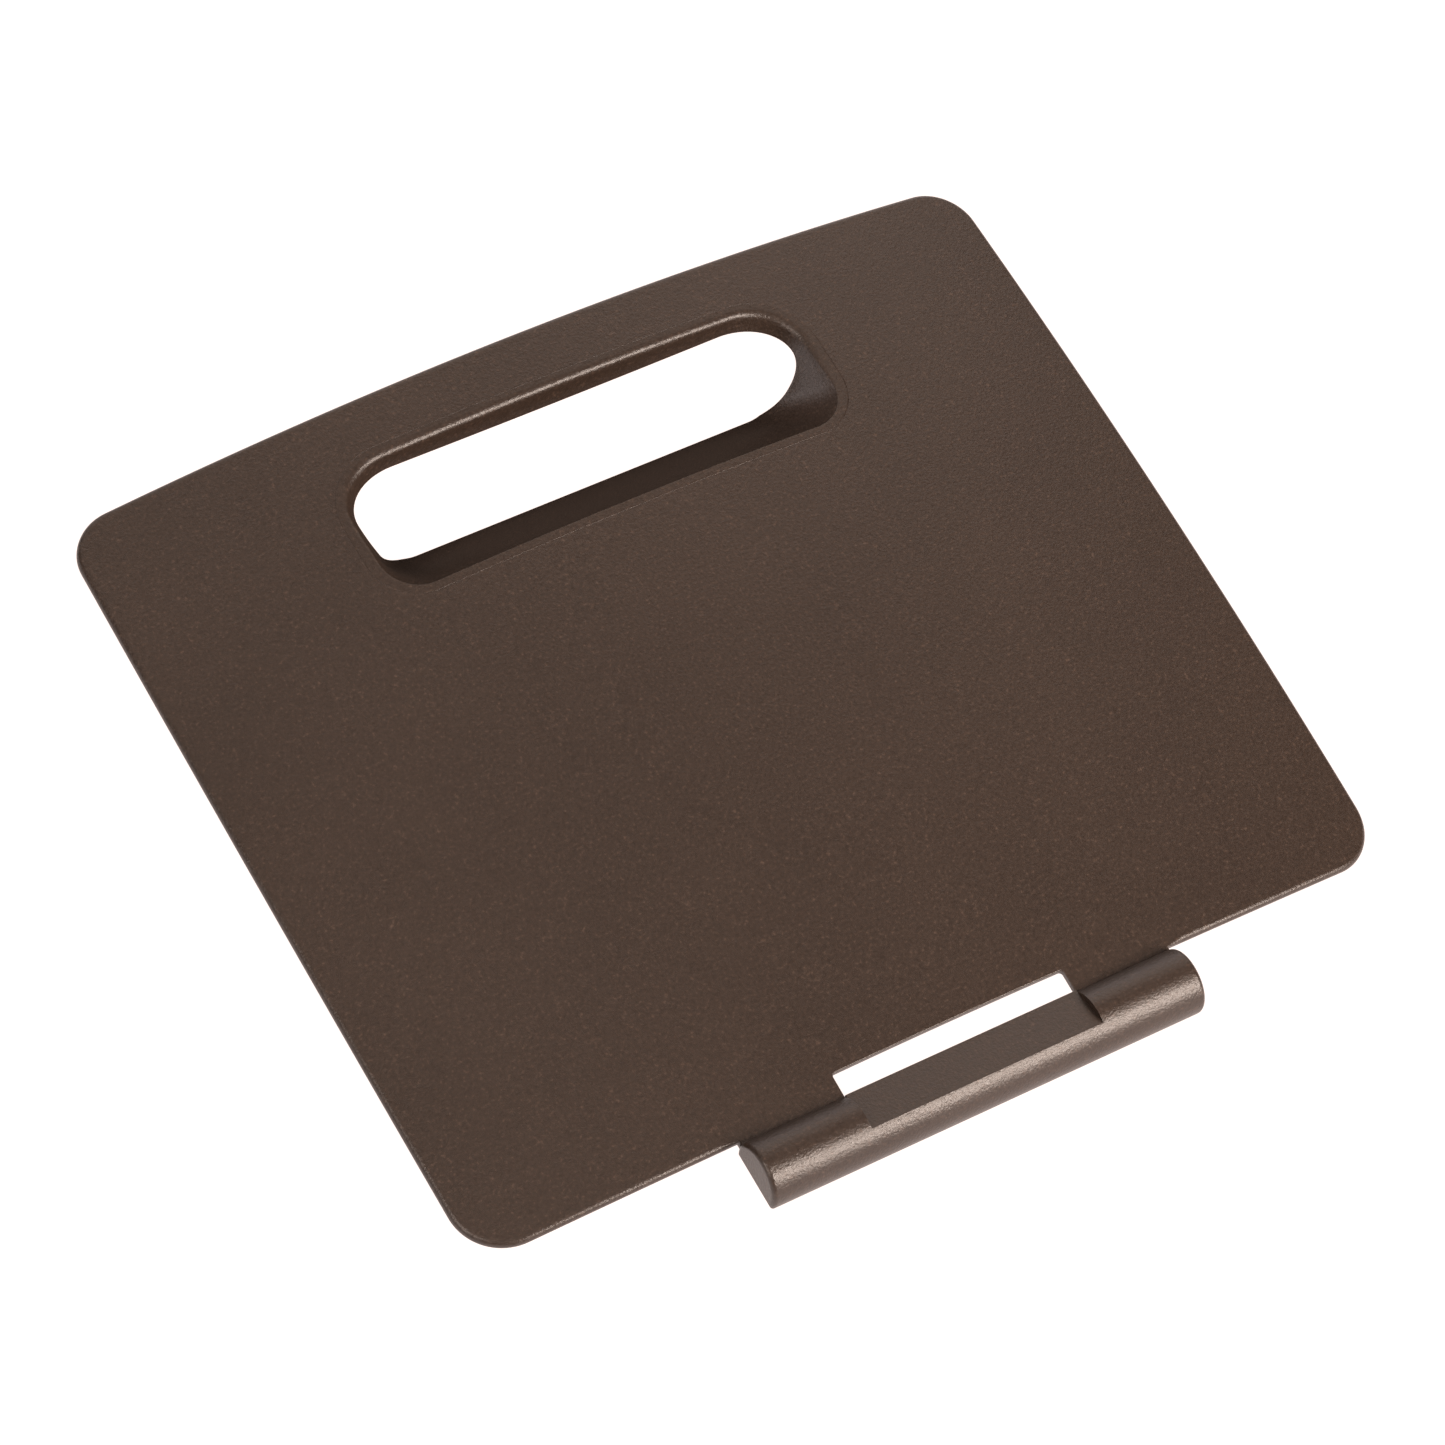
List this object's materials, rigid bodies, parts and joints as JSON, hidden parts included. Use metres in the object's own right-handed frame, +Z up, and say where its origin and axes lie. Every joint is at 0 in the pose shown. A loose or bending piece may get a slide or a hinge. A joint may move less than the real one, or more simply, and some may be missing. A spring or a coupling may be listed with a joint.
{
  "type": "hinged flap panel",
  "caption": "Thin arched flap panel with a recessed finger grip near one edge and a D-section hinge bar with a slot along the other.",
  "frame": {"origin": "under the middle of the object, at the level of its lowest edge, the foot of the grip's front wall", "axes": "+X along the hinge bar, +Y from the hinge bar towards the grip, +Z up out of the panel's show face"},
  "size_m": [0.2, 0.18, 0.0188],
  "materials": {
    "moulding": "fine spark-eroded grain, dark taupe brown",
    "bush": "natural nylon, satin",
    "screw_steel": "zinc plated",
    "rod_steel": "ground bright steel"
  },
  "bodies": {
    "flap": {"panel": "moulding", "grip_scoop": "moulding", "hinge_bar": "moulding", "rod_bush_left": "bush", "rod_bush_right": "bush", "rod_cap_left": "moulding", "rod_cap_right": "moulding", "cap_screws": "screw_steel", "bar_screws": "screw_steel"},
    "hinge_rod": {"hinge_rod": "rod_steel"}
  },
  "joints": [
    {"name": "rod_turn", "type": "hinge", "parent": "flap", "child": "hinge_rod", "pos_m": [0, -0.0838, 0.014], "axis": [1, 0, 0], "continuous": true}
  ]
}
